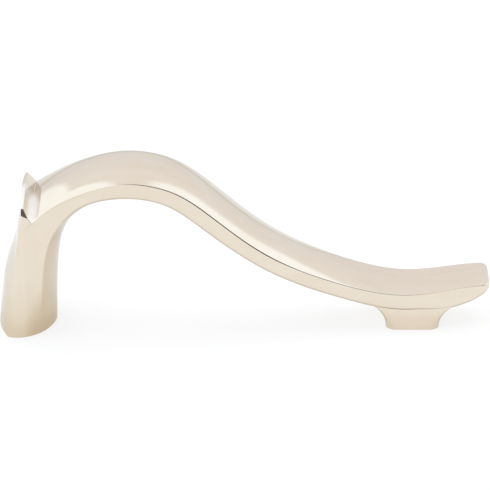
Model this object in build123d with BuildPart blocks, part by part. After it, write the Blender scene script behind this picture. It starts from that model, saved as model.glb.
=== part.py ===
from build123d import *
import os

os.makedirs("parts", exist_ok=True)

# Latch pull, one polished casting, millimetres.
# X runs along the pull, Y across it, Z away from the door.
# The origin lies on the door face, midway between the two fixing screws.

# Fixing
screw_spacing = 64.0
tap_radius = 1.65
tap_mouth_radius = 2.1
tap_depth_post = 12.0
tap_depth_foot = 4.6
post_x = -screw_spacing / 2
foot_x = screw_spacing / 2

# Bar, heights and half widths belong to its top edge
tip_reach = 12.85
tip_height = 8.05
tip_half = 4.0
tip_corner = 1.1
tip_side = 1.0
tip_curl = 2.6
dip_height = 6.4
dip_half = 4.62
glide_x = 20.0
glide_height = 8.72
glide_half = 5.1
run_x = 7.0
run_height = 15.0
run_half = 5.85
crest_x = -15.4
crest_height = 27.9
crest_half = 6.32
slope_x = -1.6
slope_drop = 5.8
slope_height = crest_height - slope_drop
shoulder_x = -7.3
shoulder_drop = 1.75
shoulder_height = crest_height - shoulder_drop
bar_crown = 1.0
tip_crown = 0.2
under_crown = 1.0
crest_side = 2.75
dip_side = 2.55
toe_side = 2.88

# Corner above the post, a crease and then a raised lip
brow_x = -25.2
brow_drop = 2.7
brow_height = crest_height - brow_drop
crease_set = 1.15
crease_x = post_x + crease_set
crease_height = 21.5
corner_half = 7.65
corner_drop = 1.4
corner_radius = 3.0
lip_set = 0.5
lip_x = post_x - lip_set
lip_rise = 1.7
lip_height = crease_height + lip_rise
lip_half = 7.4
lip_land = 0.45
lip_nose = 0.5
lip_bow = 1.2
lip_hollow = 0.05
lip_crown = 0.35
crease_crown = 0.45
lip_sink = 0.3
bend_set = 5.0
bend_x = post_x + bend_set
bend_drop = 2.3
bend_height = crease_height - bend_drop
bend_half = 6.75
bend_start = 0.8
brow_place = 0.88
crease_share = 0.2

# Post, its outer face swells toward the door and its inner face is round
post_outer = 3.4
post_inner = 2.5
post_half = 7.4
post_inner_half = 5.5
knee_height = 11.0
knee_lean = 0.45
outer_swell = 1.8
inner_swell = 2.0
side_swell = 1.1
swell_top = 18.0
swell_run = 10.0

# Foot under the dip
foot_length = 8.9
foot_depth = 10.0
foot_corner = 1.6
heel_flare = 5.7
toe_flare = 6.6
foot_shift = 0.12
foot_rise = 0.95
foot_inset = 0.45
flare_room = 0.3

# Broken long edges and faint crown of the side faces
top_edge = 0.3
under_edge = 0.45
side_crown = 0.04

# Spacing of the cross sections, close at the corner and the tip
close_step = 0.9
wide_step = 3.6
step_growth = 1.4


def ease(value):
    # smooth rise from 0 to 1
    value = min(max(value, 0.0), 1.0)
    return value * value * (3 - 2 * value)


def marks(length, step):
    # shares of a length, close together at first and then wider
    places = [0.0]
    while places[-1] < length:
        places.append(places[-1] + step)
        step = min(step * step_growth, wide_step)
    return [place / places[-1] for place in places]


def section(top, low, top_arch, low_arch, side_arch):
    # cross section between a point of the top edge and a point of the lower edge
    span = Vector(top.X - low.X, 0, top.Z - low.Z)
    height = span.length
    rise = span.normalized()
    level = Plane(origin=(top.X, 0, top.Z), x_dir=(0, 1, 0), z_dir=(rise.Z, 0, -rise.X))
    side = (top.Y + low.Y) / 2 + side_arch
    top_flat = top.Y - top_edge
    low_flat = low.Y - under_edge
    top_rise = top_arch * (1 - (top_flat / top.Y) ** 2)
    low_fall = -height - low_arch * (1 - (low_flat / low.Y) ** 2)
    with BuildSketch(level) as profile:
        with BuildLine():
            ThreePointArc((-top_flat, top_rise), (0, top_arch), (top_flat, top_rise))
            Line((top_flat, top_rise), (top.Y, -top_edge))
            ThreePointArc((top.Y, -top_edge), (side, -height / 2), (low.Y, under_edge - height))
            Line((low.Y, under_edge - height), (low_flat, low_fall))
            ThreePointArc((low_flat, low_fall), (0, -height - low_arch), (-low_flat, low_fall))
            Line((-low_flat, low_fall), (-low.Y, under_edge - height))
            ThreePointArc((-low.Y, under_edge - height), (-side, -height / 2), (-top.Y, -top_edge))
            Line((-top.Y, -top_edge), (-top_flat, top_rise))
        make_face()
    return profile.sketch


# Guide along the top edge of the bar, from the tip to the crease
tip_x = foot_x + tip_reach
with BuildLine() as bar_line:
    Spline(
        (tip_x, tip_half, tip_height),
        (tip_x - tip_reach / 3, (2 * tip_half + dip_half) / 3, (5 * tip_height + 2 * dip_height) / 7),
        (foot_x, dip_half, dip_height),
        (glide_x, glide_half, glide_height),
        (run_x, run_half, run_height),
        (slope_x, crest_half, slope_height),
        (shoulder_x, crest_half, shoulder_height),
        (crest_x, crest_half, crest_height),
        (brow_x, crest_half, brow_height),
        (crease_x, corner_half, crease_height),
    )
bar_top = bar_line.edge()
bar_length = bar_top.length

# Guide from the crease round the corner and down the leaning outer edge of the post
lean = (post_x - post_outer - lip_x) / lip_height
corner_z = crease_height - corner_drop
with BuildLine(Plane.XZ) as post_line:
    FilletPolyline(
        (crease_x, crease_height),
        (lip_x + lean * (lip_height - corner_z), corner_z),
        (post_x - post_outer, 0),
        radius=corner_radius,
    )
post_top = post_line.wire()


def below(place):
    # point of the lower edge of the bar, square under its top edge
    run = bar_top % place
    edge = bar_top @ place
    side = dip_side + (crest_side - dip_side) * ease((run_x - edge.X) / (run_x - slope_x))
    side += (toe_side - dip_side) * ease((edge.X - glide_x) / (foot_x - glide_x))
    side = tip_side + (side - tip_side) * min(1.0, place * bar_length / tip_curl)
    return edge + Vector(-run.Z, 0, run.X).normalized() * side


# Guide along the lower edge from under the brow, round the bend and down the post
with BuildLine() as low_line:
    Spline(
        below(brow_place),
        (bend_x, bend_half, bend_height),
        (post_x + post_inner + knee_lean, bend_half, knee_height),
        (post_x + post_inner, post_inner_half, 0),
    )
low_edge = low_line.edge()

# Cross sections of the bar, from the tip to the crease
cuts = []
places = [mark / 2 for mark in marks(bar_length / 2, close_step)]
places += [1 - mark / 2 for mark in reversed(marks(bar_length / 2, close_step)[:-1])]
for place in places:
    if place < brow_place:
        low = below(place)
    else:
        low = low_edge @ (crease_share * (place - brow_place) / (1 - brow_place))
    top = bar_top @ place
    thin = top.Y / crest_half
    bend = ease((place - bend_start) / (1 - bend_start))
    crown = tip_crown + (bar_crown - tip_crown) * ease((foot_x - top.X) / (foot_x - run_x))
    top_arch = crown + (crease_crown - crown) * bend
    low_arch = under_crown * thin + (inner_swell - under_crown * thin) * bend
    cuts.append(section(top, low, top_arch, low_arch, side_crown))

# Cross sections of the corner and the post, down to the door
for mark in marks(post_top.length, close_step)[1:]:
    top = post_top @ mark + Vector(0, corner_half + (post_half - corner_half) * mark, 0)
    low = low_edge @ (crease_share + (1 - crease_share) * mark)
    swell = ease((swell_top - top.Z) / swell_run)
    round_off = ease(1 - top.Z / swell_run)
    corner = crease_crown + (lip_crown - crease_crown) * ease(mark / crease_share)
    top_arch = corner + (outer_swell - corner) * swell
    side_arch = side_crown + (side_swell - side_crown) * round_off
    cuts.append(section(top, low, top_arch, inner_swell, side_arch))

# Lip, a thin fin across the corner, bowed outward in the middle
fins = []
for place, bow in ((-lip_half, 0), (0, 1), (lip_half, 0)):
    root = (crease_x, crease_height)
    ridge = (lip_x + lip_land - bow * lip_crown / 2, lip_height + bow * lip_bow)
    hollow = ((root[0] + ridge[0]) / 2 - lip_hollow, (root[1] + ridge[1]) / 2 - lip_hollow)
    with BuildSketch(Plane.XZ.offset(place)) as fin:
        with BuildLine():
            ThreePointArc(root, hollow, ridge)
            Polyline(
                ridge,
                (lip_x - bow * lip_crown, lip_height + bow * lip_bow),
                (lip_x + lean * lip_height / 3 + lip_sink - bow * lip_crown, lip_height * 2 / 3),
                (lip_x, crease_height - 2 * corner_drop),
                (crease_x - lip_sink, crease_height - corner_drop / 2),
                root,
            )
        make_face()
    fins.append(fin.sketch)

# Waste above the slanting ends of the lip
with BuildSketch(Plane.YZ.offset(lip_x)) as lip_waste:
    for side in (-1, 1):
        with BuildLine():
            Polyline(
                (side * (lip_half - 2 * lip_nose), lip_height + lip_nose),
                (side * (lip_half + lip_nose), lip_height - 2 * lip_nose),
                (side * (lip_half + lip_nose), lip_height + lip_nose),
                close=True,
            )
        make_face()

# Foot, narrow at the door and flaring into the underside of the bar
foot_top = dip_height - dip_side + foot_rise
foot_cuts = []
for share in (0.0, 0.25, 0.5, 0.75, 0.9, 1.0):
    flare = 1 - (1 - (share * foot_top / (foot_top + flare_room)) ** 2) ** 0.5
    heel = foot_length / 2 - foot_shift + heel_flare * flare
    toe = foot_length / 2 + foot_shift + toe_flare * flare
    depth = foot_depth + (2 * (dip_half - foot_inset) - foot_depth) * share
    with BuildSketch(Plane.XY.offset(foot_top * share)) as foot_cut:
        with Locations((foot_x + (toe - heel) / 2, 0)):
            RectangleRounded(heel + toe, depth, foot_corner * (1 - 0.75 * share))
    foot_cuts.append(foot_cut.sketch)

# Waste outside the two rounded corners of the tip
tip_end = below(0).X
with BuildSketch() as tip_waste:
    for side in (-1, 1):
        with Locations((tip_end, side * tip_half)):
            Rectangle(2 * tip_corner, 2 * tip_corner)
        with Locations((tip_end - tip_corner, side * (tip_half - tip_corner))):
            Circle(tip_corner, mode=Mode.SUBTRACT)

door_side = Plane(origin=(0, 0, 0), x_dir=(1, 0, 0), z_dir=(0, 0, -1))
with BuildPart() as latch_pull:
    loft(fins)
    extrude(lip_waste.sketch, amount=lip_height / 4, both=True, mode=Mode.SUBTRACT)
    loft(cuts)
    loft(foot_cuts)
    extrude(tip_waste.sketch, amount=2 * tip_height, mode=Mode.SUBTRACT)
    with Locations(door_side.location):
        with Locations((post_x, 0)):
            CounterSinkHole(tap_radius, tap_mouth_radius, depth=tap_depth_post, counter_sink_angle=90)
        with Locations((foot_x, 0)):
            CounterSinkHole(tap_radius, tap_mouth_radius, depth=tap_depth_foot, counter_sink_angle=90)

latch_pull.part.label = "latch_pull"
export_step(latch_pull.part, "parts/latch_pull.step")
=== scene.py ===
import math
import bpy
import bmesh
import numpy as np
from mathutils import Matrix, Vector


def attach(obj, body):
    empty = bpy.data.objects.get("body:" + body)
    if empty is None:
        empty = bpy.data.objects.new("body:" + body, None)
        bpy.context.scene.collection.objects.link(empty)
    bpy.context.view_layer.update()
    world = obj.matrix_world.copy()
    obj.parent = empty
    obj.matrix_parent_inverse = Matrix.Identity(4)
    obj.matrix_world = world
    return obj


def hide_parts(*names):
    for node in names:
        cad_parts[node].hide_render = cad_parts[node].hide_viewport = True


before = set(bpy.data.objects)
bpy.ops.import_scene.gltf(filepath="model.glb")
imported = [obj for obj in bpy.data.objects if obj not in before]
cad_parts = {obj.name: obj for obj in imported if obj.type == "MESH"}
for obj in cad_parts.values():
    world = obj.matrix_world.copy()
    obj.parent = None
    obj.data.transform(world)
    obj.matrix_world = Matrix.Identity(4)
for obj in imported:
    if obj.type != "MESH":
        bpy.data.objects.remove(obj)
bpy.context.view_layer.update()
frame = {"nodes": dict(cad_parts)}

mm = 0.001
weldDistance = 1e-6      # metres, points closer than this become one
sliverLength = 1e-7      # metres, shorter edges are removed
scene = bpy.context.scene
scene.view_settings.view_transform = "Standard"
print("frame loaded:", ", ".join(frame["nodes"]))


# small helpers for node trees

def addNode(tree, kind, place=(0, 0), **settings):
    node = tree.nodes.new(kind)
    node.location = place
    for key, value in settings.items():
        setattr(node, key, value)
    return node


def feed(tree, socket, value):
    # a socket is linked, anything else is written into the input
    if isinstance(value, bpy.types.NodeSocket):
        tree.links.new(value, socket)
    else:
        socket.default_value = value


def math1(tree, operation, a, b=None, c=None):
    node = addNode(tree, "ShaderNodeMath", operation=operation)
    for socket, value in zip(node.inputs, (a, b, c)):
        if value is not None:
            feed(tree, socket, value)
    return node.outputs[0]


def math3(tree, operation, a, b=None, scale=None):
    node = addNode(tree, "ShaderNodeVectorMath", operation=operation)
    feed(tree, node.inputs[0], a)
    if b is not None:
        feed(tree, node.inputs[1], b)
    if scale is not None:
        feed(tree, node.inputs["Scale"], scale)
    return node.outputs[0]


def parts3(tree, vector):
    node = addNode(tree, "ShaderNodeSeparateXYZ")
    tree.links.new(vector, node.inputs[0])
    return node.outputs


def ramp(tree, value, edges, ends=(0.0, 1.0), kind="SMOOTHSTEP"):
    # maps the range between two edges onto another range
    node = addNode(tree, "ShaderNodeMapRange", interpolation_type=kind)
    for socket, number in zip(node.inputs[:5], (value, *edges, *ends)):
        feed(tree, socket, number)
    return node.outputs[0]


def blendColour(tree, share, a, b, kind="MIX"):
    # the colour sockets of a Mix node are inputs 6 and 7 and output 2
    node = addNode(tree, "ShaderNodeMix", data_type="RGBA", blend_type=kind)
    feed(tree, node.inputs[0], share)
    feed(tree, node.inputs[6], a if isinstance(a, bpy.types.NodeSocket) else (*a, 1))
    feed(tree, node.inputs[7], b if isinstance(b, bpy.types.NodeSocket) else (*b, 1))
    return node.outputs[2]


def setInput(modifier, name, value):
    # modifier inputs are set by the socket's identifier
    for item in modifier.node_group.interface.items_tree:
        if item.item_type == "SOCKET" and item.in_out == "INPUT" and item.name == name:
            modifier[item.identifier] = value
            return
    raise KeyError(name)


def finishTree(tree, geometry, material):
    # every tree ends in welded, plain faces with one material
    weld = addNode(tree, "GeometryNodeMergeByDistance")
    weld.inputs["Distance"].default_value = weldDistance
    smooth = addNode(tree, "GeometryNodeSetShadeSmooth")
    realize = addNode(tree, "GeometryNodeRealizeInstances")
    paint = addNode(tree, "GeometryNodeSetMaterial")
    out = addNode(tree, "NodeGroupOutput")
    tree.links.new(geometry, weld.inputs["Geometry"])
    tree.links.new(weld.outputs[0], smooth.inputs[0])
    tree.links.new(smooth.outputs[0], realize.inputs[0])
    tree.links.new(realize.outputs[0], paint.inputs[0])
    tree.links.new(material, paint.inputs["Material"])
    tree.links.new(paint.outputs[0], out.inputs[0])


def plainMesh(holder, name):
    # the evaluated result becomes a mesh of its own, the holder goes
    shadow = bpy.context.evaluated_depsgraph_get()
    mesh = bpy.data.meshes.new_from_object(holder.evaluated_get(shadow))
    mesh.name = name
    piece = bpy.data.objects.new(name, mesh)
    scene.collection.objects.link(piece)
    bpy.data.objects.remove(holder, do_unlink=True)
    shell = bmesh.new()
    shell.from_mesh(mesh)
    bmesh.ops.recalc_face_normals(shell, faces=shell.faces)
    shell.to_mesh(mesh)
    shell.free()
    return piece


# finishes

nickel = {
    "colour": (0.80, 0.72, 0.605),       # warm white of nickel plate
    "dark": (0.775, 0.685, 0.56),        # yellower where the plate is thin
    "roughness": (0.055, 0.12),
    "lineScale": 1.0,
    "lineHeight": 0.00035,               # polishing lines, millimetres of bump distance
    "grazing": (0.86, 0.86, 0.865),      # seen along the surface
    "bright": (0.995, 0.97, 0.925),      # painted highlight in the crook of the lip
    "paintedShades": {                           # painted shade on the inner side, underside, low band and lower post, standing in for the shaded floor they mirror
        "Inner Side": (0.87, 0.83, 0.775),
        "Under": (0.83, 0.81, 0.78),
        "Low": (0.93, 0.90, 0.865),
        "Post": (0.95, 0.935, 0.88),
    },
}
thread = {
    "colour": (0.62, 0.57, 0.50),
    "dark": (0.36, 0.33, 0.29),
    "roughness": (0.18, 0.38),
    "lineScale": 2.0,
    "lineHeight": 0.002,
}
polish = {
    "turnsDown": (-24.0, -30.0),         # along the pull, where the lines turn down the post
    "Lines": (60, 2600),                 # fine scratches, scale along and across
    "Bands": (25, 420),                  # broad bands that the wheel leaves
    "detail": 3.0,
    "grain": 0.6,
    "cloudScale": 120.0,
    "cloudDetail": 2.0,
    "mottle": (0.45, 0.55),              # share of the clouds and of the bands in the colour
    "colourSpread": (0.38, 0.62),
    "lineSpread": (0.3, 0.7),
}
paintedLightZones = {                              # where painted shade and the painted highlight go, from none to full, in millimetres or parts of the normal
    "Inner Side": (("toX", (0.15, 0.6)), ("x", (-22.0, -26.0)), ("z", (20.5, 18.0))),
    "Under": (("toZ", (-0.08, -0.5)),),
    "Low": (("z", (4.5, 1.0)),),
    "Post": (("x", (-24.0, -28.0)), ("z", (12.0, 1.0))),
    "Crook": (("x", (-29.4, -30.5)), ("y", (2.0, -1.0)), ("z", (20.8, 21.6)), ("toZ", (0.25, 0.5))),
}


def polishLinesGroup():
    # lines left by the polishing belt, along the bar and down the post
    tree = bpy.data.node_groups.new("polishLines", "ShaderNodeTree")
    face = tree.interface
    face.new_socket("Vector", in_out="INPUT", socket_type="NodeSocketVector")
    for name, value in (("Line Scale", 1.0), ("Cloud Scale", polish["cloudScale"])):
        face.new_socket(name, in_out="INPUT", socket_type="NodeSocketFloat").default_value = value
    for name in ("Lines", "Bands", "Clouds"):
        face.new_socket(name, in_out="OUTPUT", socket_type="NodeSocketFloat")
    into = addNode(tree, "NodeGroupInput", (-900, 0))
    out = addNode(tree, "NodeGroupOutput", (600, 0))
    x = parts3(tree, into.outputs["Vector"])[0]
    onPost = ramp(tree, x, [edge * mm for edge in polish["turnsDown"]])
    for name in ("Lines", "Bands"):
        along, across = polish[name]
        streaks = []
        for stretch in ((along, across, across), (across, across, along)):
            squeeze = math3(tree, "MULTIPLY", into.outputs["Vector"], stretch)
            noise = addNode(tree, "ShaderNodeTexNoise", (-200, 0))
            noise.inputs["Scale"].default_value = 1.0
            noise.inputs["Detail"].default_value = polish["detail"]
            noise.inputs["Roughness"].default_value = polish["grain"]
            scaled = math3(tree, "SCALE", squeeze, scale=into.outputs["Line Scale"])
            tree.links.new(scaled, noise.inputs["Vector"])
            streaks.append(noise.outputs["Fac"])
        pick = addNode(tree, "ShaderNodeMix", (200, 100), data_type="FLOAT")
        for socket, value in zip((pick.inputs[0], *pick.inputs[2:4]), (onPost, *streaks)):
            tree.links.new(value, socket)
        tree.links.new(pick.outputs[0], out.inputs[name])
    cloud = addNode(tree, "ShaderNodeTexNoise", (-200, -300))
    cloud.inputs["Detail"].default_value = polish["cloudDetail"]
    tree.links.new(into.outputs["Vector"], cloud.inputs["Vector"])
    tree.links.new(into.outputs["Cloud Scale"], cloud.inputs["Scale"])
    tree.links.new(cloud.outputs["Fac"], out.inputs["Clouds"])
    return tree


def paintedLightMaskGroup():
    # masks for painted shade inside, under, low and on the post, and for a painted highlight in the crook by
    # the lip
    tree = bpy.data.node_groups.new("paintedLightMask", "ShaderNodeTree")
    face = tree.interface
    for name in ("Vector", "Normal"):
        face.new_socket(name, in_out="INPUT", socket_type="NodeSocketVector")
    for name in paintedLightZones:
        face.new_socket(name, in_out="OUTPUT", socket_type="NodeSocketFloat")
    into = addNode(tree, "NodeGroupInput", (-900, 0))
    out = addNode(tree, "NodeGroupOutput", (600, 0))
    axes = dict(zip(("x", "y", "z"), parts3(tree, into.outputs["Vector"])))
    axes.update(zip(("toX", "toY", "toZ"), parts3(tree, into.outputs["Normal"])))
    for name, limits in paintedLightZones.items():
        mask = 1.0
        for axis, edges in limits:
            size = 1 if axis.startswith("to") else mm
            within = ramp(tree, axes[axis], [edge * size for edge in edges])
            mask = math1(tree, "MULTIPLY", within, mask)
        tree.links.new(mask, out.inputs[name])
    return tree


def metal(name, finish):
    # one polished or machined metal, its lines and clouds come from the shared group
    material = bpy.data.materials.new(name)
    material.use_nodes = True
    tree = material.node_tree
    shader = tree.nodes["Principled BSDF"]
    shader.inputs["Metallic"].default_value = 1.0
    coords = addNode(tree, "ShaderNodeTexCoord", (-1100, 0))
    group = addNode(tree, "ShaderNodeGroup", (-850, 0), node_tree=polishLines)
    group.inputs["Line Scale"].default_value = finish["lineScale"]
    tree.links.new(coords.outputs["Object"], group.inputs["Vector"])
    clouds, bands = polish["mottle"]
    mottle = math1(tree, "ADD", math1(tree, "MULTIPLY", group.outputs["Clouds"], clouds),
                   math1(tree, "MULTIPLY", group.outputs["Bands"], bands))
    thin = ramp(tree, mottle, polish["colourSpread"], kind="LINEAR")
    tree.links.new(blendColour(tree, thin, finish["colour"], finish["dark"]), shader.inputs["Base Color"])
    roughness = ramp(tree, group.outputs["Lines"], polish["lineSpread"], finish["roughness"], "LINEAR")
    tree.links.new(roughness, shader.inputs["Roughness"])
    bump = addNode(tree, "ShaderNodeBump", (-300, -300))
    bump.inputs["Strength"].default_value = 1.0
    bump.inputs["Distance"].default_value = finish["lineHeight"] * mm
    tree.links.new(group.outputs["Lines"], bump.inputs["Height"])
    tree.links.new(bump.outputs[0], shader.inputs["Normal"])
    return material


def addPaintedLight(material):
    # multiplies painted shade into the plate colour in those zones, and mixes a painted highlight into the
    # crook
    tree = material.node_tree
    shader = tree.nodes["Principled BSDF"]
    shader.inputs["Specular Tint"].default_value = (*nickel["grazing"], 1)
    group = addNode(tree, "ShaderNodeGroup", (-850, 300), node_tree=paintedLightMask)
    tree.links.new(addNode(tree, "ShaderNodeTexCoord").outputs["Object"], group.inputs["Vector"])
    tree.links.new(addNode(tree, "ShaderNodeNewGeometry").outputs["Normal"], group.inputs["Normal"])
    colour = shader.inputs["Base Color"].links[0].from_socket
    for name, tint in nickel["paintedShades"].items():
        colour = blendColour(tree, group.outputs[name], colour, tint, "MULTIPLY")
    colour = blendColour(tree, group.outputs["Crook"], colour, nickel["bright"])
    tree.links.new(colour, shader.inputs["Base Color"])


polishLines = polishLinesGroup()
paintedLightMask = paintedLightMaskGroup()
nickelPlate = metal("nickelPlate", nickel)
addPaintedLight(nickelPlate)
tappedMetal = metal("tappedMetal", thread)
print("finishes made")


# loft between two rails, used for the body, the lip and the foot

edgeProfile = {"arcSteps": 8, "acrossSteps": 26, "sideSteps": 10}
roundLimit = 0.4     # largest edge rounding, as a part of the height of the side


def makeProfile():
    # one turn round a rounded oblong: side -1..1, height -1..1 and the angle of the corner arc
    arc, across, side = edgeProfile["arcSteps"], edgeProfile["acrossSteps"], edgeProfile["sideSteps"]
    quarter = math.pi / 2
    ring = []
    corners = [(1, 1), (-1, 1), (-1, -1), (1, -1)]
    for number, (toSide, toTop) in enumerate(corners):
        for step in range(arc + 1):
            ring.append((toSide, toTop, quarter * (number + step / arc)))
        nextSide, nextTop = corners[(number + 1) % 4]
        steps = across if number % 2 == 0 else side
        for step in range(1, steps):
            share = step / steps
            ring.append((toSide + (nextSide - toSide) * share, toTop + (nextTop - toTop) * share,
                         quarter * (number + 1)))
    mesh = bpy.data.meshes.new("edgeProfile")
    mesh.from_pydata(ring, [], [])
    holder = bpy.data.objects.new("edgeProfile", mesh)
    scene.collection.objects.link(holder)
    return holder


def railLoftTree():
    tree = bpy.data.node_groups.new("railLoft", "GeometryNodeTree")
    face = tree.interface
    face.new_socket("Rails", in_out="INPUT", socket_type="NodeSocketGeometry")
    face.new_socket("Profile", in_out="INPUT", socket_type="NodeSocketObject")
    face.new_socket("Material", in_out="INPUT", socket_type="NodeSocketMaterial")
    face.new_socket("Loft", in_out="OUTPUT", socket_type="NodeSocketGeometry")
    into = addNode(tree, "NodeGroupInput")
    ring = addNode(tree, "GeometryNodeObjectInfo")
    tree.links.new(into.outputs["Profile"], ring.inputs["Object"])
    counts = []
    for shape in (into.outputs["Rails"], ring.outputs["Geometry"]):
        size = addNode(tree, "GeometryNodeAttributeDomainSize")
        tree.links.new(shape, size.inputs[0])
        counts.append(size.outputs["Point Count"])

    def whole(operation, a, b):
        node = addNode(tree, "FunctionNodeIntegerMath", operation=operation)
        feed(tree, node.inputs[0], a)
        feed(tree, node.inputs[1], b)
        return node.outputs[0]

    # one row of points for each station of the rails
    columns = whole("ADD", counts[1], 1)
    grid = addNode(tree, "GeometryNodeMeshGrid")
    tree.links.new(counts[0], grid.inputs["Vertices X"])
    tree.links.new(columns, grid.inputs["Vertices Y"])
    index = addNode(tree, "GeometryNodeInputIndex").outputs[0]
    station = whole("DIVIDE_FLOOR", index, columns)
    turnIndex = whole("MODULO", whole("MODULO", index, columns), counts[1])

    def sample(shape, value, at):
        node = addNode(tree, "GeometryNodeSampleIndex", data_type="FLOAT_VECTOR", clamp=True)
        tree.links.new(shape, node.inputs["Geometry"])
        tree.links.new(value, node.inputs["Value"])
        tree.links.new(at, node.inputs["Index"])
        return node.outputs[0]

    def stored(name):
        node = addNode(tree, "GeometryNodeInputNamedAttribute", data_type="FLOAT_VECTOR")
        node.inputs["Name"].default_value = name
        return node.outputs[0]

    place = addNode(tree, "GeometryNodeInputPosition").outputs[0]
    top = sample(into.outputs["Rails"], place, station)
    low, crown, belly, edge = (sample(into.outputs["Rails"], stored(name), station)
                               for name in ("low", "crown", "belly", "edge"))
    toSide, toTop, turn = parts3(tree, sample(ring.outputs["Geometry"], place, turnIndex))
    topHalf = parts3(tree, top)[1]
    lowHalf = parts3(tree, low)[1]
    topRound, lowRound, bulge = parts3(tree, edge)

    flat = (1, 0, 1)
    topFlat = math3(tree, "MULTIPLY", top, flat)
    lowFlat = math3(tree, "MULTIPLY", low, flat)
    distance = addNode(tree, "ShaderNodeVectorMath", operation="DISTANCE")
    tree.links.new(topFlat, distance.inputs[0])
    tree.links.new(lowFlat, distance.inputs[1])
    tall = distance.outputs["Value"]

    def calc(operation, *values):
        return math1(tree, operation, *values)

    def between(a, b, share):
        return calc("MULTIPLY_ADD", calc("SUBTRACT", b, a), share, a)

    # where the point lies across and up the section
    corner = between(lowRound, topRound, calc("MULTIPLY_ADD", toTop, 0.5, 0.5))
    reach = calc("SUBTRACT", calc("MULTIPLY", tall, 0.5), corner)
    rise = calc("MULTIPLY_ADD", toTop, reach, calc("MULTIPLY", corner, calc("SINE", turn)))
    share = calc("ADD", calc("DIVIDE", rise, tall), 0.5)
    half = between(lowHalf, topHalf, share)
    arcOut = calc("MULTIPLY", corner, calc("COSINE", turn))
    out = calc("MULTIPLY_ADD", toSide, calc("SUBTRACT", half, corner), arcOut)
    hump = calc("MULTIPLY", calc("MULTIPLY", share, calc("SUBTRACT", 1.0, share)), 4.0)
    out = calc("MULTIPLY_ADD", calc("MULTIPLY", toSide, bulge), hump, out)

    def arch(width, weight):
        ratio = calc("DIVIDE", out, width)
        full = calc("MAXIMUM", calc("SUBTRACT", 1.0, calc("MULTIPLY", ratio, ratio)), 0.0)
        return calc("MULTIPLY", full, calc("MAXIMUM", weight, 0.0))

    step = math3(tree, "SCALE", math3(tree, "SUBTRACT", topFlat, lowFlat), scale=share)
    spot = math3(tree, "ADD", lowFlat, step)
    spot = math3(tree, "ADD", spot, math3(tree, "SCALE", crown, scale=arch(topHalf, toTop)))
    toUnder = calc("MULTIPLY", toTop, -1.0)
    spot = math3(tree, "ADD", spot, math3(tree, "SCALE", belly, scale=arch(lowHalf, toUnder)))
    sideways = addNode(tree, "ShaderNodeCombineXYZ")
    tree.links.new(out, sideways.inputs[1])
    move = addNode(tree, "GeometryNodeSetPosition")
    tree.links.new(grid.outputs["Mesh"], move.inputs["Geometry"])
    tree.links.new(math3(tree, "ADD", spot, sideways.outputs[0]), move.inputs["Position"])
    finishTree(tree, move.outputs[0], into.outputs["Material"])
    return tree


def loftRails(name, top, low, crown, belly, edge):
    # the rails are a row of points, top edge in the positions and the rest as attributes
    mesh = bpy.data.meshes.new(name + "Rails")
    mesh.from_pydata((top * mm).tolist(), [], [])
    for key, values in (("low", low), ("crown", crown), ("belly", belly), ("edge", edge)):
        layer = mesh.attributes.new(key, "FLOAT_VECTOR", "POINT")
        layer.data.foreach_set("vector", (values * mm).astype(np.float32).ravel())
    holder = bpy.data.objects.new(name + "Rails", mesh)
    scene.collection.objects.link(holder)
    modifier = holder.modifiers.new("railLoft", "NODES")
    modifier.node_group = railLoft
    setInput(modifier, "Profile", profile)
    setInput(modifier, "Material", nickelPlate)
    return plainMesh(holder, name)


def mix(a, b, share):
    return a + (b - a) * share


def easeFrom(value, start, full):
    # smooth rise from 0 at the start to 1 where it is full
    share = np.clip((value - start) / (full - start), 0.0, 1.0)
    return share * share * (3 - 2 * share)


def limitRounding(edge, top, low):
    tall = np.linalg.norm((top - low)[:, [0, 2]], axis=1)[:, None]
    edge[:, :2] = np.minimum(edge[:, :2], tall * roundLimit)


def closeRails(top, low, *extras, ends=(0, -1), axis=None):
    # the loft closes on a point of the middle plane at each of these ends, halfway or on a given axis
    points = [(top[end] + low[end]) / 2 * np.array([1, 0, 1]) for end in ends]
    if axis is not None:
        for point in points:
            point[0] = axis
    none = np.zeros(3)
    closed = []
    for number, rail in enumerate((top, low, *extras)):
        caps = [[point if number < 2 else none] for point in points]
        closed.append(np.concatenate([caps[0], rail, *caps[1:]]))
    return closed


profile = makeProfile()
railLoft = railLoftTree()


# pull body, millimetres: X along the pull, half width, height over the door

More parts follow.
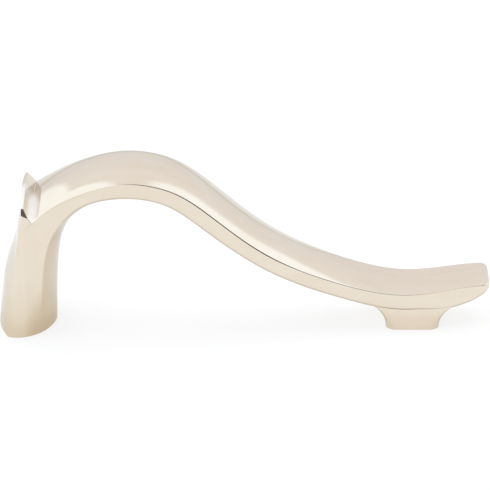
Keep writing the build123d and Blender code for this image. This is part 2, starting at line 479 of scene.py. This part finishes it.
body = {
    "topEdge": [
        (44.81, 4.0, 8.05), (40.57, 4.21, 7.58), (32.0, 4.62, 6.4), (20.0, 5.1, 8.72),
        (7.0, 5.85, 15.0), (-1.6, 6.32, 22.1), (-7.3, 6.32, 26.15),
        (-15.4, 6.32, 27.9), (-25.2, 6.32, 25.4), (-30.85, 7.61, 21.5),
    ],
    "corner": (-32.95, 7.6, 20.1),
    "cornerRound": 3.0,
    "outerFoot": (-35.4, 7.4, 0.0),
    "innerEdge": [(-27.0, 6.75, 19.2), (-29.05, 6.75, 11.0), (-29.5, 5.5, 0.0)],
    "sideTall": (2.88, 2.55, 2.75),        # side face over the foot, along the run and at the crest
    "sideChange": (32.0, 20.0, 7.0, -1.6),
    "toeTall": (0.55, 32.0, 37.0, 42.0, 38.0),   # extra over the toe, from none to full at each side
    "tipTall": 1.0,
    "tipRun": 3.8,
    "tipFlare": 1.4,
    "tipCorner": (1.25, 2.0),              # along and across
    "tipRound": 0.22,
    "crown": (0.2, 1.0),                   # at the tip and along the arch
    "crownChange": (32.0, 7.0),
    "underCrown": 1.0,
    "crestHalf": 6.32,
    "creaseCrown": 1.1,                    # straight up at the crease
    "uprightFrom": 17.5,                   # height on the post where the crown turns up
    "bendStart": 0.8,                      # share of the bar where it starts to turn into the post
    "cornerCrown": 0.35,
    "outerSwell": 1.79,
    "innerSwell": 2.0,
    "sideSwell": 1.03,
    "sideBulge": 0.04,
    "swellTop": 18.0,
    "swellRun": 10.0,
    "edgeRound": (0.2, 0.5),               # upper and lower long edges
    "runEdge": (0.25, -9.0, -3.0),         # upper edge down the run, from where to where it changes
    "tipEdge": (0.13, 7.0, 14.0),
    "softEdge": (0.6, -15.0, -30.0, -24.5),      # extra on the climb, its two ends and where it is full
    "cornerEdge": 0.12,                    # upper edge behind the lip
    "cornerEdgeBar": (-28.5, -30.7),
    "cornerEdgePost": (16.5, 18.5),
    "innerEdgeRound": 0.35,
    "browPlace": 0.88,                     # share of the bar where its lower edge leaves for the bend
    "browLead": 0.04,
    "creaseShare": 0.2,
    "steps": {"tip": 14, "bar": 190, "lead": 8, "turn": 24, "post": 90},
}


def smoothThrough(points):
    # natural cubic through points, measured along their chords
    points = np.array(points, float)
    knots = np.concatenate([[0], np.cumsum(np.linalg.norm(np.diff(points, axis=0), axis=1))])
    gap = np.diff(knots)
    slope = np.diff(points, axis=0) / gap[:, None]
    system = np.eye(len(points))
    right = np.zeros_like(points)
    for i in range(1, len(points) - 1):
        system[i, i - 1:i + 2] = gap[i - 1], 2 * (gap[i - 1] + gap[i]), gap[i]
        right[i] = 6 * (slope[i] - slope[i - 1])
    curl = np.linalg.solve(system, right)

    def at(run):
        run = np.atleast_1d(run).astype(float)
        i = np.clip(np.searchsorted(knots, run) - 1, 0, len(gap) - 1)
        b = ((run - knots[i]) / gap[i])[:, None]
        a = 1 - b
        lift = ((a ** 3 - a) * curl[i] + (b ** 3 - b) * curl[i + 1]) * (gap[i] ** 2)[:, None] / 6
        return a * points[i] + b * points[i + 1] + lift

    return at, knots[-1]


def unit(vectors):
    return vectors / np.linalg.norm(vectors, axis=1)[:, None]


def heading(at, run, step=0.02):
    # direction of a rail seen from the side
    way = at(run + step) - at(run - step)
    way[:, 1] = 0
    return unit(way)


def roundedTurn(before, corner, after, radius, steps):
    # arc that eases one corner of a rail, from the run before to the run after
    before, corner, after = (np.array(p, float) for p in (before, corner, after))
    back = (before - corner) / np.linalg.norm((before - corner)[[0, 2]])
    ahead = (after - corner) / np.linalg.norm((after - corner)[[0, 2]])
    opening = math.acos(np.clip(back[0] * ahead[0] + back[2] * ahead[2], -1, 1))
    cut = radius / math.tan(opening / 2)
    middle = back + ahead
    centre = corner + middle / np.linalg.norm(middle[[0, 2]]) * radius / math.sin(opening / 2)
    start = corner + back * cut - centre
    sweep = math.pi - opening
    side = math.copysign(1, back[0] * ahead[2] - back[2] * ahead[0])
    arc = []
    for share in np.linspace(0, 1, steps):
        angle = -side * sweep * share
        x = start[0] * math.cos(angle) - start[2] * math.sin(angle)
        z = start[0] * math.sin(angle) + start[2] * math.cos(angle)
        width = mix((corner + back * cut)[1], (corner + ahead * cut)[1], share)
        arc.append((centre[0] + x, width, centre[2] + z))
    return np.array(arc)


def barEdges():
    # upper and lower edge of the bar from the tip to the crease, closer together near the tip
    barAt, barLong = smoothThrough(body["topEdge"])
    tipAlong = body["tipCorner"][0]
    nearTip = tipAlong * (1 - np.cos(np.linspace(0, math.pi / 2, body["steps"]["tip"])))
    run = np.concatenate([nearTip[:-1], np.linspace(tipAlong, barLong, body["steps"]["bar"])])
    bar = barAt(run)
    way = heading(barAt, run)
    down = np.stack([-way[:, 2], 0 * run, way[:, 0]], axis=1)

    x = bar[:, 0]
    overFoot, onRun, atCrest = body["sideTall"]
    footX, glideX, runX, slopeX = body["sideChange"]
    tall = mix(onRun, atCrest, easeFrom(x, runX, slopeX))
    tall += (overFoot - onRun) * easeFrom(x, glideX, footX)
    extra, heelStart, heelFull, toeStart, toeFull = body["toeTall"]
    tall += extra * easeFrom(x, heelStart, heelFull) * easeFrom(x, toeStart, toeFull)
    grow = 1 - (1 - np.clip(run / body["tipRun"], 0, 1)) ** body["tipFlare"]
    tall = mix(body["tipTall"], tall, grow)
    return run, run / barLong, bar, bar + down * tall[:, None], down


def postEdge():
    # outer edge, round the corner behind the lip and down the post
    crease, base = np.array(body["topEdge"][-1]), np.array(body["outerFoot"])
    steps = body["steps"]
    turn = roundedTurn(crease, body["corner"], base, body["cornerRound"], steps["turn"])
    lead = np.linspace(crease, turn[0], steps["lead"])
    post = np.concatenate([lead[1:-1], turn, np.linspace(turn[-1], base, steps["post"])[1:]])
    gaps = np.linalg.norm(np.diff(np.concatenate([[crease], post]), axis=0), axis=1)
    mark = np.cumsum(gaps) / gaps.sum()
    post[:, 1] = mix(crease[1], base[1], mark)
    return post, mark


def lowerEdge(place, under, mark):
    # under the bar as far as the brow, then round the bend and down the inner side of the post
    brow, ahead, toCrease = body["browPlace"], body["browLead"], body["creaseShare"]
    lead = [under[np.searchsorted(place, share)] for share in (brow - 2 * ahead, brow - ahead, brow)]
    lowAt, lowLong = smoothThrough(lead + body["innerEdge"])
    lowStart = np.linalg.norm(lead[1] - lead[0]) + np.linalg.norm(lead[2] - lead[1])
    onBar = np.clip((place - brow) / (1 - brow), 0, 1) * toCrease
    low = lowAt(mix(lowStart, lowLong, np.concatenate([onBar, mix(toCrease, 1, mark)])))
    before = np.flatnonzero(place < brow)
    low[before] = under[before]
    return low


def bodyCrowns(bar, place, post, rise):
    # crown of the top, swell of the post outside and inside
    tipCrown, archCrown = body["crown"]
    arch = mix(tipCrown, archCrown, easeFrom(bar[:, 0], *body["crownChange"]))
    bend = easeFrom(place, body["bendStart"], 1.0)
    swell = easeFrom(post[:, 2], body["swellTop"], body["swellTop"] - body["swellRun"])
    atCorner = easeFrom(post[:, 2], body["uprightFrom"], body["topEdge"][-1][2])
    outside = np.concatenate([arch, mix(body["cornerCrown"], body["outerSwell"], swell)])
    thin = body["underCrown"] * bar[:, 1] / body["crestHalf"]
    inside = np.concatenate([mix(thin, body["innerSwell"], bend), np.full(len(post), body["innerSwell"])])
    upright = np.concatenate([bend, atCorner])[:, None]
    crown = mix(rise * outside[:, None], np.array([0, 0, body["creaseCrown"]]), upright)
    return crown, -rise * inside[:, None]


def bodyEdges(bar, post):
    # a tight rounding, softer where the bar climbs, hidden behind the lip
    edge = np.zeros((len(bar) + len(post), 3))
    edge[:, 0], edge[:, 1] = body["edgeRound"]
    edge[:, 2] = body["sideBulge"]
    onBar, onPost = edge[:len(bar)], edge[len(bar):]
    x, z = bar[:, 0], post[:, 2]
    soft, start, end, full = body["softEdge"]
    onBar[:, 0] += soft * easeFrom(x, start, full) * easeFrom(x, end, full)
    for radius, start, full in (body["runEdge"], body["tipEdge"]):
        onBar[:, 0] = mix(onBar[:, 0], radius, easeFrom(x, start, full))
    onBar[:, 0] = mix(onBar[:, 0], body["cornerEdge"], easeFrom(x, *body["cornerEdgeBar"]))
    onPost[:, 0] = mix(onPost[:, 0], body["cornerEdge"], easeFrom(z, *body["cornerEdgePost"]))
    onPost[:, 1] = body["innerEdgeRound"]
    onPost[:, 2] = mix(body["sideBulge"], body["sideSwell"], easeFrom(z, body["swellRun"], 0))
    return edge


def shapeTip(run, down, top, low):
    # rounded plan corners and softened end of the tip
    along, across = body["tipCorner"]
    soft = body["tipRound"]
    inset = across * (1 - np.sqrt(1 - (1 - np.clip(run / along, 0, 1)) ** 2))
    sink = soft - np.sqrt(soft ** 2 - (soft - np.clip(run, 0, soft)) ** 2)
    for rail, sign in ((top, 1), (low, -1)):
        rail[:len(run), 1] -= inset
        rail[:len(run)] += sign * down * sink[:, None]


def bodyRails():
    run, place, bar, under, down = barEdges()
    post, mark = postEdge()
    top = np.concatenate([bar, post])
    low = lowerEdge(place, under, mark)
    rise = top - low
    rise[:, 1] = 0
    crown, belly = bodyCrowns(bar, place, post, unit(rise))
    edge = bodyEdges(bar, post)
    shapeTip(run, down, top, low)
    limitRounding(edge, top, low)
    return closeRails(top, low, crown, belly, edge)


pullBody = loftRails("pullBody", *bodyRails())
print("body lofted:", len(pullBody.data.polygons), "faces")


# raised lip across the corner, its stations climb from the crease to the ridge

lip = {
    "ridge": (-32.25, 23.42),
    "land": 0.2,
    "lean": 0.1221,              # outer face, millimetres outward per millimetre down
    "sink": 0.03,                # the outer face dives into the post, per millimetre
    "outerLow": 18.6,
    "dive": 0.05,                # the end faces dive into the body, per millimetre
    "root": (0.3, 0.3),          # how deep the root lies in the bar, and how much narrower it is
    "hollow": 0.14,              # reach of the hollow between the bar and the lip
    "hollowSink": 0.05,
    "innerBow": (0.1, 0, 1.0),
    "outerBow": (-0.33, 0, 1.0),
    "edgeRound": (0.15, 0.1),
    "ridgeRound": 0.14,
    "steps": {"hollow": 10, "face": 24, "ridge": 6},
    "facet": ((-32.45, 7.45, 22.93), (0.35, 0.65, 0.675)),   # a point of it at each end, and the way it faces
    "cutterSize": 3.0,
}


def lipFaces():
    # inner face from its hollow root up to the ridge, and the outer face beside it
    crease, ridge = np.array(body["topEdge"][-1])[[0, 2]], np.array(lip["ridge"])
    climb = (ridge - crease) / np.linalg.norm(ridge - crease)
    alongBar = np.array(body["topEdge"][-2])[[0, 2]] - crease
    alongBar /= np.linalg.norm(alongBar)
    overBar = np.array([-alongBar[1], alongBar[0]])
    start = crease + alongBar * lip["hollow"] - overBar * lip["hollowSink"]
    finish = crease + climb * lip["hollow"]
    t = np.linspace(0, 1, lip["steps"]["hollow"])[:, None]
    hollow = (1 - t) ** 2 * start + 2 * t * (1 - t) * crease + t ** 2 * finish
    face = np.linspace(finish, ridge - climb * lip["ridgeRound"], lip["steps"]["face"])[1:]
    inner = np.concatenate([[start - overBar * lip["root"][0]], hollow, face])
    along = np.concatenate([[0], np.cumsum(np.linalg.norm(np.diff(inner, axis=0), axis=1))])
    level = mix(lip["outerLow"], ridge[1] - lip["ridgeRound"], along / along[-1])
    out = ridge[0] - lip["land"] - (lip["lean"] - lip["sink"]) * (ridge[1] - level)
    return inner, np.stack([out, level], axis=1)


def roundRidge(inner, outer, turn):
    # the two faces round over to a single line
    middle = (inner[-1] + outer[-1]) / 2
    lift = lip["ridgeRound"] * np.stack([0 * turn, np.sin(turn)], axis=1)
    capped = []
    for face in (inner, outer):
        capped.append(np.concatenate([face, middle + (face[-1] - middle) * np.cos(turn)[:, None] + lift]))
    capped[1][-1] = capped[0][-1]
    return capped


def lipRails():
    turn = np.linspace(0, math.pi / 2, lip["steps"]["ridge"] + 1)[1:]
    inner, outer = roundRidge(*lipFaces(), turn)
    _, creaseHalf, creaseZ = body["topEdge"][-1]
    ridgeZ = lip["ridge"][1]

    def rail(points):
        half = creaseHalf - lip["dive"] * np.clip(creaseZ - points[:, 1], 0, None)
        half[0] -= lip["root"][1]
        return np.stack([points[:, 0], half, points[:, 1]], axis=1)

    top, low = rail(inner), rail(outer)
    grown = np.clip((top[:, 2] - creaseZ) / (ridgeZ - creaseZ), 0, 1)[:, None]
    crown = mix(np.array([0, 0, body["creaseCrown"]]), np.array(lip["innerBow"]), grown)
    belly = np.array(lip["outerBow"]) * np.ones((len(low), 1))
    belly[:, 2] *= np.clip((low[:, 2] - lip["outerLow"]) / (ridgeZ - lip["outerLow"]), 0, 1)
    # the two bows meet on the ridge
    over = slice(-len(turn), None)
    meet = (1 - np.cos(turn))[:, None]
    crown[over] = mix(crown[over], belly[over], meet / 2)
    belly[over] = mix(belly[over], crown[over], meet)
    crown[-1] = belly[-1]
    edge = np.zeros_like(top)
    edge[:, 0], edge[:, 1] = lip["edgeRound"]
    limitRounding(edge, top, low)
    return closeRails(top, low, crown, belly, edge, ends=(0,))


pullLip = loftRails("pullLip", *lipRails())
print("lip lofted:", len(pullLip.data.polygons), "faces")


# foot under the dip

foot = {
    "centre": 32.0,
    "length": 8.9,
    "shift": 0.12,
    "depth": (10.0, 8.34),      # at the door and inside the bar
    "top": 4.8,
    "flare": (5.7, 6.6),        # towards the post and towards the tip
    "flareEnd": 5.1,
    "corner": (1.6, 0.4),
    "levels": 48,
}


def footRails():
    share = np.linspace(0, 1, foot["levels"])
    level = share * foot["top"]
    flare = 1 - np.sqrt(1 - (level / foot["flareEnd"]) ** 2)
    middle = foot["centre"] + foot["shift"]
    heel = middle - foot["length"] / 2 - foot["flare"][0] * flare
    toe = middle + foot["length"] / 2 + foot["flare"][1] * flare
    half = mix(*foot["depth"], share) / 2
    top = np.stack([toe, half, level], axis=1)
    low = np.stack([heel, half, level], axis=1)
    none = np.zeros_like(top)
    edge = np.zeros_like(top)
    edge[:, 0] = edge[:, 1] = mix(*foot["corner"], share)
    return closeRails(top, low, none, none, edge, axis=foot["centre"])


pullFoot = loftRails("pullFoot", *footRails())
print("foot lofted:", len(pullFoot.data.polygons), "faces")


# tapped holes for the fixing screws

tap = {
    "radius": 1.65,
    "depth": 0.35,
    "pitch": 0.7,
    "mouth": 2.1,
    "flank": (0.08, 0.44),      # where the groove starts and is full, in pitches
    "turns": 44,
    "rowsPerPitch": 12,
    "capShare": 0.0001,         # the first and the last row close on the axis
}
holes = {"postTap": (-32.0, 12.0), "footTap": (32.0, 4.6)}


def tappedHoleTree():
    tree = bpy.data.node_groups.new("tappedHole", "GeometryNodeTree")
    face = tree.interface
    face.new_socket("Start", in_out="INPUT", socket_type="NodeSocketGeometry")
    for name in ("Place", "Long", "Radius", "Thread Depth", "Pitch", "Mouth"):
        face.new_socket(name, in_out="INPUT", socket_type="NodeSocketFloat")
    for name in ("Rows", "Steps"):
        face.new_socket(name, in_out="INPUT", socket_type="NodeSocketInt")
    face.new_socket("Material", in_out="INPUT", socket_type="NodeSocketMaterial")
    face.new_socket("Hole", in_out="OUTPUT", socket_type="NodeSocketGeometry")
    into = addNode(tree, "NodeGroupInput").outputs
    grid = addNode(tree, "GeometryNodeMeshGrid")
    tree.links.new(into["Steps"], grid.inputs["Vertices X"])
    tree.links.new(into["Rows"], grid.inputs["Vertices Y"])

    def calc(operation, *values):
        return math1(tree, operation, *values)

    # turn and height of each point, from one pitch below the door
    index = addNode(tree, "GeometryNodeInputIndex").outputs[0]
    around = calc("FLOOR", calc("DIVIDE", index, into["Rows"]))
    row = calc("SUBTRACT", index, calc("MULTIPLY", around, into["Rows"]))
    turn = calc("DIVIDE", around, calc("SUBTRACT", into["Steps"], 1.0))
    share = calc("DIVIDE", row, calc("SUBTRACT", into["Rows"], 1.0))
    rise = calc("SUBTRACT", calc("MULTIPLY", share, calc("ADD", into["Long"], into["Pitch"])), into["Pitch"])
    # thread groove, countersunk mouth and closed ends
    wave = calc("PINGPONG", calc("SUBTRACT", calc("DIVIDE", rise, into["Pitch"]), turn), 0.5)
    groove = ramp(tree, wave, tap["flank"], (0.0, into["Thread Depth"]), "LINEAR")
    cone = calc("SUBTRACT", into["Mouth"], calc("MAXIMUM", rise, 0.0))
    wall = calc("MAXIMUM", calc("ADD", into["Radius"], groove), cone)
    wall = calc("MULTIPLY", wall, calc("GREATER_THAN", share, tap["capShare"]))
    wall = calc("MULTIPLY", wall, calc("LESS_THAN", share, 1 - tap["capShare"]))
    angle = calc("MULTIPLY", turn, 2 * math.pi)
    spot = addNode(tree, "ShaderNodeCombineXYZ")
    feed(tree, spot.inputs[0], calc("MULTIPLY_ADD", wall, calc("COSINE", angle), into["Place"]))
    feed(tree, spot.inputs[1], calc("MULTIPLY", wall, calc("SINE", angle)))
    feed(tree, spot.inputs[2], rise)
    move = addNode(tree, "GeometryNodeSetPosition")
    tree.links.new(grid.outputs["Mesh"], move.inputs["Geometry"])
    tree.links.new(spot.outputs[0], move.inputs["Position"])
    finishTree(tree, move.outputs[0], into["Material"])
    return tree


tappedHole = tappedHoleTree()


def tappedHolePiece(name, place, long):
    mesh = bpy.data.meshes.new(name + "Start")
    holder = bpy.data.objects.new(name + "Start", mesh)
    scene.collection.objects.link(holder)
    modifier = holder.modifiers.new("tappedHole", "NODES")
    modifier.node_group = tappedHole
    lengths = {"Place": place, "Long": long, "Radius": tap["radius"], "Thread Depth": tap["depth"],
               "Pitch": tap["pitch"], "Mouth": tap["mouth"]}
    for key, value in lengths.items():
        setInput(modifier, key, value * mm)
    setInput(modifier, "Rows", round((long + tap["pitch"]) / tap["pitch"] * tap["rowsPerPitch"]))
    setInput(modifier, "Steps", tap["turns"] + 1)
    setInput(modifier, "Material", tappedMetal)
    return plainMesh(holder, name)


# one casting: the lip loses its corners, everything is joined and the holes are tapped

sharpAngle = math.radians(32)


def fuse(base, tool, operation):
    modifier = base.modifiers.new(operation.lower(), "BOOLEAN")
    modifier.operation = operation
    modifier.solver = "EXACT"
    modifier.material_mode = "TRANSFER"
    modifier.object = tool
    shadow = bpy.context.evaluated_depsgraph_get()
    mesh = bpy.data.meshes.new_from_object(base.evaluated_get(shadow))
    base.modifiers.clear()
    base.data = mesh
    bpy.data.objects.remove(tool, do_unlink=True)


def cornerCutter(side):
    # a block whose lower face lies where the facet goes
    point, facing = (Vector((x, side * y, z)) for x, y, z in lip["facet"])
    turn = facing.to_track_quat("Z", "Y")
    shell = bmesh.new()
    bmesh.ops.create_cube(shell, size=2.0)
    for corner in shell.verts:
        corner.co = (turn @ ((corner.co + Vector((0, 0, 1))) * lip["cutterSize"]) + point) * mm
    mesh = bpy.data.meshes.new("cornerCutter")
    shell.to_mesh(mesh)
    shell.free()
    mesh.materials.append(nickelPlate)
    cutter = bpy.data.objects.new("cornerCutter", mesh)
    scene.collection.objects.link(cutter)
    return cutter


def markEdges(piece):
    # smooth faces with sharp edges by angle, tells how many edges are open
    shell = bmesh.new()
    shell.from_mesh(piece.data)
    bmesh.ops.dissolve_degenerate(shell, edges=shell.edges, dist=sliverLength)
    for line in shell.edges:
        line.smooth = len(line.link_faces) == 2 and line.calc_face_angle(0) < sharpAngle
    for surface in shell.faces:
        surface.smooth = True
    loose = sum(not line.is_manifold for line in shell.edges)
    shell.to_mesh(piece.data)
    shell.free()
    return loose


for side in (-1, 1):
    fuse(pullLip, cornerCutter(side), "DIFFERENCE")
fuse(pullBody, pullLip, "UNION")
fuse(pullBody, pullFoot, "UNION")
for name, (place, long) in holes.items():
    fuse(pullBody, tappedHolePiece(name, place, long), "DIFFERENCE")
bpy.data.objects.remove(profile, do_unlink=True)
openEdges = markEdges(pullBody)
pullBody.name = pullBody.data.name = "polishedPull"
print("pull fused:", len(pullBody.data.polygons), "faces,", openEdges, "open edges")

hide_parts("latch_pull")
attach(pullBody, "root")


# floor, light and camera

studio = {
    "floorSize": 3.0,
    "floorDrop": 0.00002,
    "floorColour": (0.24, 0.24, 0.24),
    "floorRoughness": 0.9,
    "floorGlow": 0.78,
    "floorPool": (0.10, 0.40),         # the pool of light is full within and faded outside
    "floorFade": 0.72,
    "topLight": {"place": (0.10, 0.20, 0.75), "size": (0.9, 0.6), "power": 1.6},
    "leftLight": {"place": (-0.7, -0.1, 0.35), "size": (0.5, 0.5), "power": 0.5},
    "back": (0.965, 0.958, 0.995),
    "ceiling": (0.99, 0.99, 1.02),
    "sky": (1.22, 1.29, 1.40),
    "toCeiling": (0.90, 0.60),
    "overhead": (0.585, 0.51),         # how far the lights reach back, cosine towards the back wall
    "overheadSlant": -0.155,           # further back on the right
    "rightLong": (0.08, 0.38),
    "leftLong": (-0.10, -0.35),
    "leftBox": (-0.64, -0.70),
    "leftSlant": -0.2,
    "front": (0.10, 0.095, 0.09),
    "frontAway": (0.0, -0.18),
    "frontOver": (0.06, 0.2),
    "frontRight": (0.5, 1.2),
    "frontLean": 1.2,                  # weight of right against up
    "low": (0.95, 0.95, 0.95),
    "horizon": (0.05, -0.05),
}
photoCamera = {
    "target": (4.1, 0.0, 13.4),
    "distance": 530.0,
    "elevation": 28.0,
    "lens": 233.6,
    "sensor": 36.0,
    "clip": 10.0,
}


def makeFloor():
    half, drop = studio["floorSize"] / 2, -studio["floorDrop"]
    corners = [(-half, -half, drop), (half, -half, drop), (half, half, drop), (-half, half, drop)]
    mesh = bpy.data.meshes.new("paleFloor")
    mesh.from_pydata(corners, [], [(0, 1, 2, 3)])
    floor = bpy.data.objects.new("paleFloor", mesh)
    scene.collection.objects.link(floor)
    material = bpy.data.materials.new("paleFloor")
    material.use_nodes = True
    tree = material.node_tree
    shader = tree.nodes["Principled BSDF"]
    shader.inputs["Base Color"].default_value = (*studio["floorColour"], 1)
    shader.inputs["Roughness"].default_value = studio["floorRoughness"]
    shader.inputs["Specular IOR Level"].default_value = 0.0
    shader.inputs["Emission Color"].default_value = (1, 1, 1, 1)
    rays = addNode(tree, "ShaderNodeLightPath")
    seen = math1(tree, "ADD", rays.outputs["Is Camera Ray"], rays.outputs["Is Glossy Ray"])
    seen = math1(tree, "ADD", seen, rays.outputs["Is Transmission Ray"])
    away = addNode(tree, "ShaderNodeVectorMath", operation="LENGTH")
    tree.links.new(addNode(tree, "ShaderNodeTexCoord").outputs["Object"], away.inputs[0])
    pool = ramp(tree, away.outputs["Value"], studio["floorPool"], (1.0, studio["floorFade"]))
    glow = math1(tree, "MULTIPLY", math1(tree, "MINIMUM", seen, 1.0), studio["floorGlow"])
    tree.links.new(math1(tree, "MULTIPLY", glow, pool), shader.inputs["Emission Strength"])
    mesh.materials.append(material)


def makeWorld():
    # a plain studio room: pale behind, bright overhead, dim towards the viewer
    world = bpy.data.worlds.new("studioRoom")
    scene.world = world
    world.use_nodes = True
    tree = world.node_tree
    ground = tree.nodes["Background"]
    x, y, z = parts3(tree, addNode(tree, "ShaderNodeTexCoord").outputs["Generated"])

    def soft(value, key):
        return ramp(tree, value, studio[key])

    # two long lights overhead with a dimmer gap between them, and a box light on the left
    slanted = math1(tree, "MULTIPLY_ADD", math1(tree, "MAXIMUM", x, 0.0), studio["overheadSlant"], y)
    longLights = math1(tree, "MAXIMUM", soft(x, "rightLong"), soft(x, "leftLong"))
    room = blendColour(tree, soft(y, "toCeiling"), studio["back"], studio["ceiling"])
    lit = math1(tree, "MULTIPLY", longLights, soft(slanted, "overhead"))
    room = blendColour(tree, lit, room, studio["sky"])
    leftward = math1(tree, "MULTIPLY_ADD", y, studio["leftSlant"], x)
    room = blendColour(tree, soft(leftward, "leftBox"), room, studio["sky"])
    # the viewer's side of the room is dark
    rightward = math1(tree, "MULTIPLY_ADD", x, studio["frontLean"], z)
    inFront = math1(tree, "MULTIPLY", soft(y, "frontAway"), soft(rightward, "frontRight"))
    inFront = math1(tree, "MULTIPLY", inFront, soft(z, "frontOver"))
    room = blendColour(tree, inFront, room, studio["front"])
    room = blendColour(tree, soft(z, "horizon"), room, studio["low"])
    tree.links.new(room, ground.inputs["Color"])
    ground.inputs["Strength"].default_value = 1.0


def makeLight(name):
    setup = studio[name]
    lamp = bpy.data.lights.new(name, "AREA")
    lamp.shape = "RECTANGLE"
    lamp.size, lamp.size_y = setup["size"]
    lamp.energy = setup["power"]
    light = bpy.data.objects.new(name, lamp)
    light.location = setup["place"]
    light.rotation_euler = (-Vector(setup["place"])).to_track_quat("-Z", "Y").to_euler()
    light.visible_glossy = False      # the room is what the metal mirrors
    scene.collection.objects.link(light)


def makeCamera():
    lens = bpy.data.cameras.new("photoCamera")
    lens.lens = photoCamera["lens"]
    lens.sensor_width = photoCamera["sensor"]
    lens.clip_end = photoCamera["clip"]
    camera = bpy.data.objects.new("photoCamera", lens)
    tilt = math.radians(photoCamera["elevation"])
    back = Vector((0, -math.cos(tilt), math.sin(tilt)))
    camera.location = (Vector(photoCamera["target"]) + back * photoCamera["distance"]) * mm
    camera.rotation_euler = (-back).to_track_quat("-Z", "Y").to_euler()
    scene.collection.objects.link(camera)
    scene.camera = camera


makeFloor()
makeWorld()
makeLight("topLight")
makeLight("leftLight")
makeCamera()
print("studio set")
